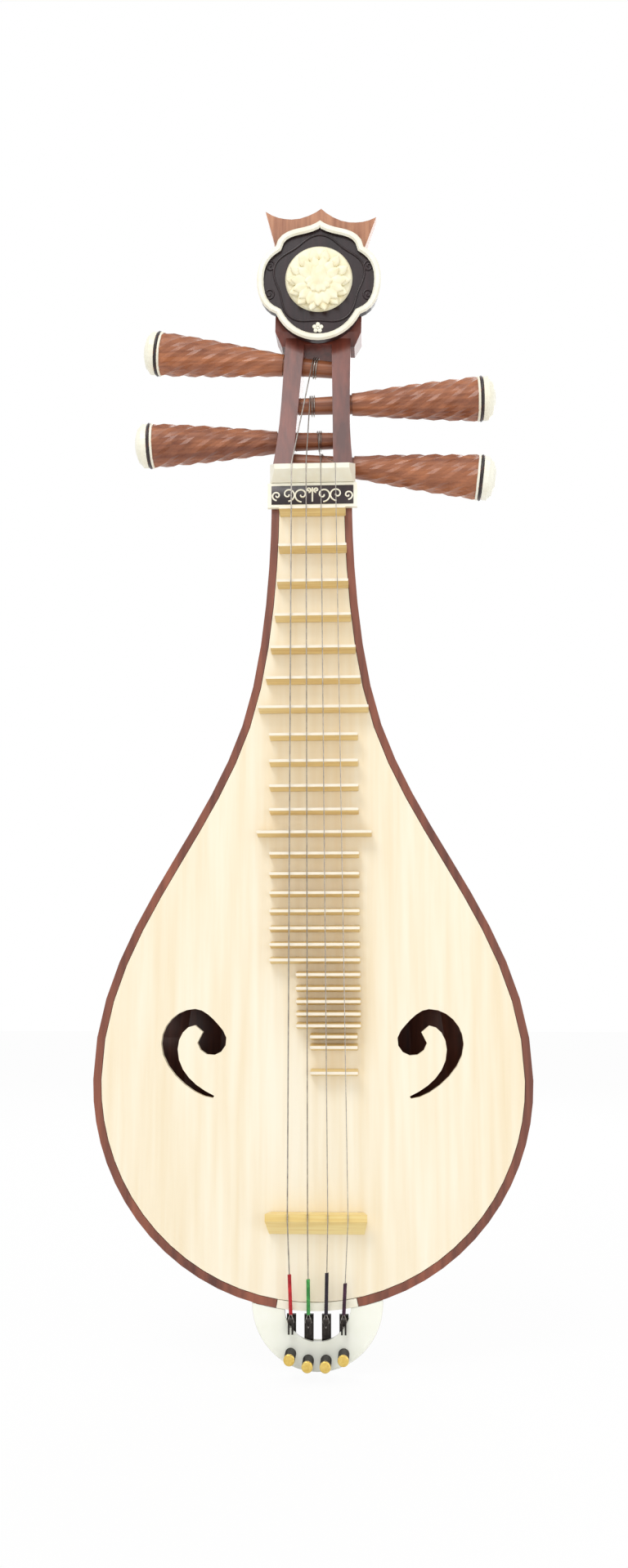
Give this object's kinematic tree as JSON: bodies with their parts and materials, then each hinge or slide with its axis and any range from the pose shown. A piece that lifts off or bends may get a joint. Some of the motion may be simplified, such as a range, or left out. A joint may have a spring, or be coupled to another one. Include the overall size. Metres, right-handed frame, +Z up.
{
  "type": "liuqin",
  "caption": "Small pear-shaped plucked lute with raised frets, side pegs in an open slotted head and fine tuners at the tail.",
  "frame": {"origin": "on the front of the neck, level with the lower edge of the nut plate, where a wall yoke carries the neck", "axes": "+Z up the neck to the head, +Y from the soundboard to the back, +X to the viewer's right"},
  "size_m": [0.236, 0.0721, 0.6625],
  "materials": {
    "rosewood": "satin",
    "pegwood": "satin",
    "paulownia": "matte",
    "spruce": "matte",
    "bamboo": "satin",
    "ebony": "satin",
    "bone": "satin",
    "tail_plastic": "gloss",
    "string_steel": "satin",
    "black_metal": "satin",
    "gold": "polished"
  },
  "bodies": {
    "lute": {"back_shell": "rosewood", "bridge": "bamboo", "fret_01": "bamboo", "fret_02": "bamboo", "fret_03": "bamboo", "fret_04": "bamboo", "fret_05": "bamboo", "fret_06": "bamboo", "fret_07": "bamboo", "fret_08": "bamboo", "fret_09": "bamboo", "fret_10": "bamboo", "fret_11": "bamboo", "fret_12": "bamboo", "fret_13": "bamboo", "fret_14": "bamboo", "fret_15": "bamboo", "fret_16": "bamboo", "fret_17": "bamboo", "fret_18": "bamboo", "fret_19": "bamboo", "fret_20": "bamboo", "fret_21": "bamboo", "fret_22": "bamboo", "fret_23": "bamboo", "fret_24": "bamboo", "fret_25": "bamboo", "fret_26": "bamboo", "fret_27": "bamboo", "head_plate": "ebony", "head_rim": "bone", "headstock": "rosewood", "lotus_medallion": "bone", "lower_brace": "spruce", "nut": "bone", "nut_plate": "bone", "soundboard": "paulownia", "string_1": "string_steel", "string_2": "string_steel", "string_3": "string_steel", "string_4": "string_steel", "tail_inlay": "bone", "tailpiece": "tail_plastic", "upper_brace": "spruce"},
    "peg_upper_left": {"peg_upper_left": "pegwood", "peg_cap_upper_left": "bone"},
    "peg_upper_right": {"peg_upper_right": "pegwood", "peg_cap_upper_right": "bone"},
    "peg_lower_left": {"peg_lower_left": "pegwood", "peg_cap_lower_left": "bone"},
    "peg_lower_right": {"peg_lower_right": "pegwood", "peg_cap_lower_right": "bone"},
    "tuner_screw_1": {"tuner_screw_1": "gold"},
    "tuner_lever_1": {"tuner_lever_1": "black_metal"},
    "tuner_screw_2": {"tuner_screw_2": "gold"},
    "tuner_lever_2": {"tuner_lever_2": "black_metal"},
    "tuner_screw_3": {"tuner_screw_3": "gold"},
    "tuner_lever_3": {"tuner_lever_3": "black_metal"},
    "tuner_screw_4": {"tuner_screw_4": "gold"},
    "tuner_lever_4": {"tuner_lever_4": "black_metal"}
  },
  "joints": [
    {"name": "turn_peg_upper_left", "type": "hinge", "parent": "lute", "child": "peg_upper_left", "pos_m": [0.00244, 0.026, 0.09819], "axis": [-0.9908, 0.0228, 0.1333], "continuous": true},
    {"name": "turn_peg_upper_right", "type": "hinge", "parent": "lute", "child": "peg_upper_right", "pos_m": [0.00176, 0.02142, 0.07229], "axis": [0.9994, 0.0123, 0.0319], "continuous": true},
    {"name": "turn_peg_lower_left", "type": "hinge", "parent": "lute", "child": "peg_lower_left", "pos_m": [0.00113, 0.01717, 0.04825], "axis": [-0.9999, -0.0083, -0.0131], "continuous": true},
    {"name": "turn_peg_lower_right", "type": "hinge", "parent": "lute", "child": "peg_lower_right", "pos_m": [0.00074, 0.0145, 0.03318], "axis": [0.9936, -0.0181, -0.1113], "continuous": true},
    {"name": "drive_screw_1", "type": "slide", "parent": "lute", "child": "tuner_screw_1", "axis": [0, 1, 0], "range_m": [-0.0006, 0.0006]},
    {"name": "rock_lever_1", "type": "hinge", "parent": "lute", "child": "tuner_lever_1", "pos_m": [-0.0108, 0.00565, -0.454], "axis": [1, 0, 0], "range_deg": [-7.4, 7.4]},
    {"name": "drive_screw_2", "type": "slide", "parent": "lute", "child": "tuner_screw_2", "axis": [0, 1, 0], "range_m": [-0.0006, 0.0006]},
    {"name": "rock_lever_2", "type": "hinge", "parent": "lute", "child": "tuner_lever_2", "pos_m": [-0.0016, 0.00565, -0.454], "axis": [1, 0, 0], "range_deg": [-4.44, 4.44]},
    {"name": "drive_screw_3", "type": "slide", "parent": "lute", "child": "tuner_screw_3", "axis": [0, 1, 0], "range_m": [-0.0006, 0.0006]},
    {"name": "rock_lever_3", "type": "hinge", "parent": "lute", "child": "tuner_lever_3", "pos_m": [0.0076, 0.00565, -0.454], "axis": [1, 0, 0], "range_deg": [-4.44, 4.44]},
    {"name": "drive_screw_4", "type": "slide", "parent": "lute", "child": "tuner_screw_4", "axis": [0, 1, 0], "range_m": [-0.0006, 0.0006]},
    {"name": "rock_lever_4", "type": "hinge", "parent": "lute", "child": "tuner_lever_4", "pos_m": [0.0168, 0.00565, -0.454], "axis": [1, 0, 0], "range_deg": [-7.4, 7.4]}
  ],
  "couplings": [
    {"joint": "rock_lever_1", "follows": "drive_screw_1", "rad_per_m": 212.44},
    {"joint": "rock_lever_2", "follows": "drive_screw_2", "rad_per_m": 126.2},
    {"joint": "rock_lever_3", "follows": "drive_screw_3", "rad_per_m": 126.2},
    {"joint": "rock_lever_4", "follows": "drive_screw_4", "rad_per_m": 212.44}
  ]
}
